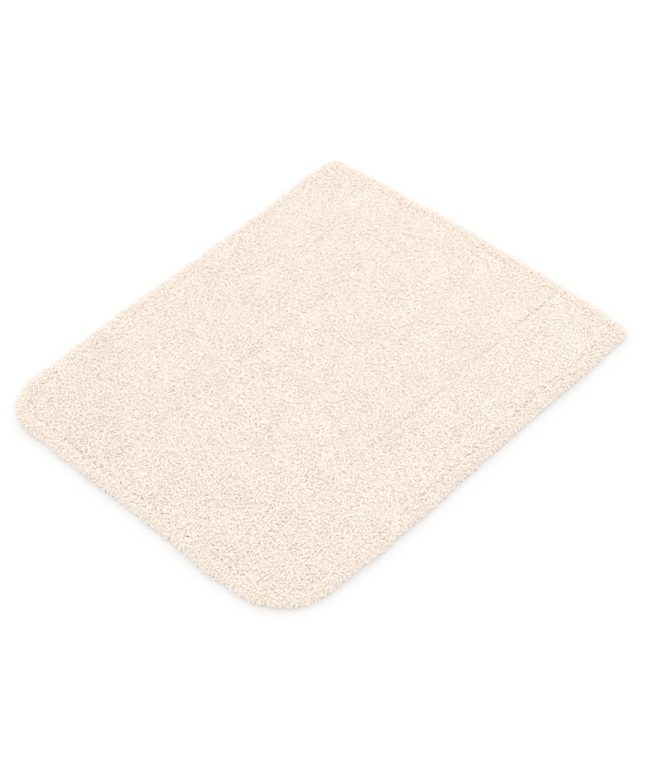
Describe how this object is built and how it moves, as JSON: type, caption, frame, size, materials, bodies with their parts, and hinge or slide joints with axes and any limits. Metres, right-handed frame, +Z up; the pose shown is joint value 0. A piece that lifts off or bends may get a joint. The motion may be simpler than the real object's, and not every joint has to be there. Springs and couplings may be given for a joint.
{
  "type": "bath mat",
  "caption": "Rectangular tufted cut-pile cotton bath mat with two rounded and two nearly square corners, a rolled pile edge, a seam groove and a non-slip underside; lies flat on a floor",
  "frame": {"origin": "middle of the mat's outline, on the floor plane that its underside rests on", "axes": "+Z up through the pile; +X along the long sides and the tufting rows, towards the end with rounded corners; +Y across the mat, towards its left-hand long side seen from the square end"},
  "size_m": [0.6, 0.5, 0.0148],
  "materials": {
    "cotton_pile": "matte",
    "base_cloth": "matte",
    "cotton_tape": "matte",
    "latex_coat": "matte",
    "edging_yarn": "matte",
    "sewing_thread": "satin",
    "satin_label": "satin"
  },
  "bodies": {
    "root": {"base_cloth": "base_cloth", "non_slip_backing": "latex_coat", "overlock_edging": "edging_yarn", "hem_needle_thread": "sewing_thread", "hem_bobbin_thread": "sewing_thread", "care_label": "satin_label", "hem_tape_square_end": "cotton_tape", "hem_tape_round_end": "cotton_tape", "hem_tape_left_side": "cotton_tape", "hem_tape_right_side": "cotton_tape", "hem_tape_left_bend": "cotton_tape", "hem_tape_right_bend": "cotton_tape", "edge_pile_square_end": "cotton_pile", "edge_pile_round_end": "cotton_pile", "edge_pile_left_side": "cotton_pile", "edge_pile_right_side": "cotton_pile", "edge_pile_left_bend": "cotton_pile", "edge_pile_right_bend": "cotton_pile", "pile_band_right": "cotton_pile", "pile_band_middle": "cotton_pile", "pile_band_left": "cotton_pile"}
  },
  "joints": []
}
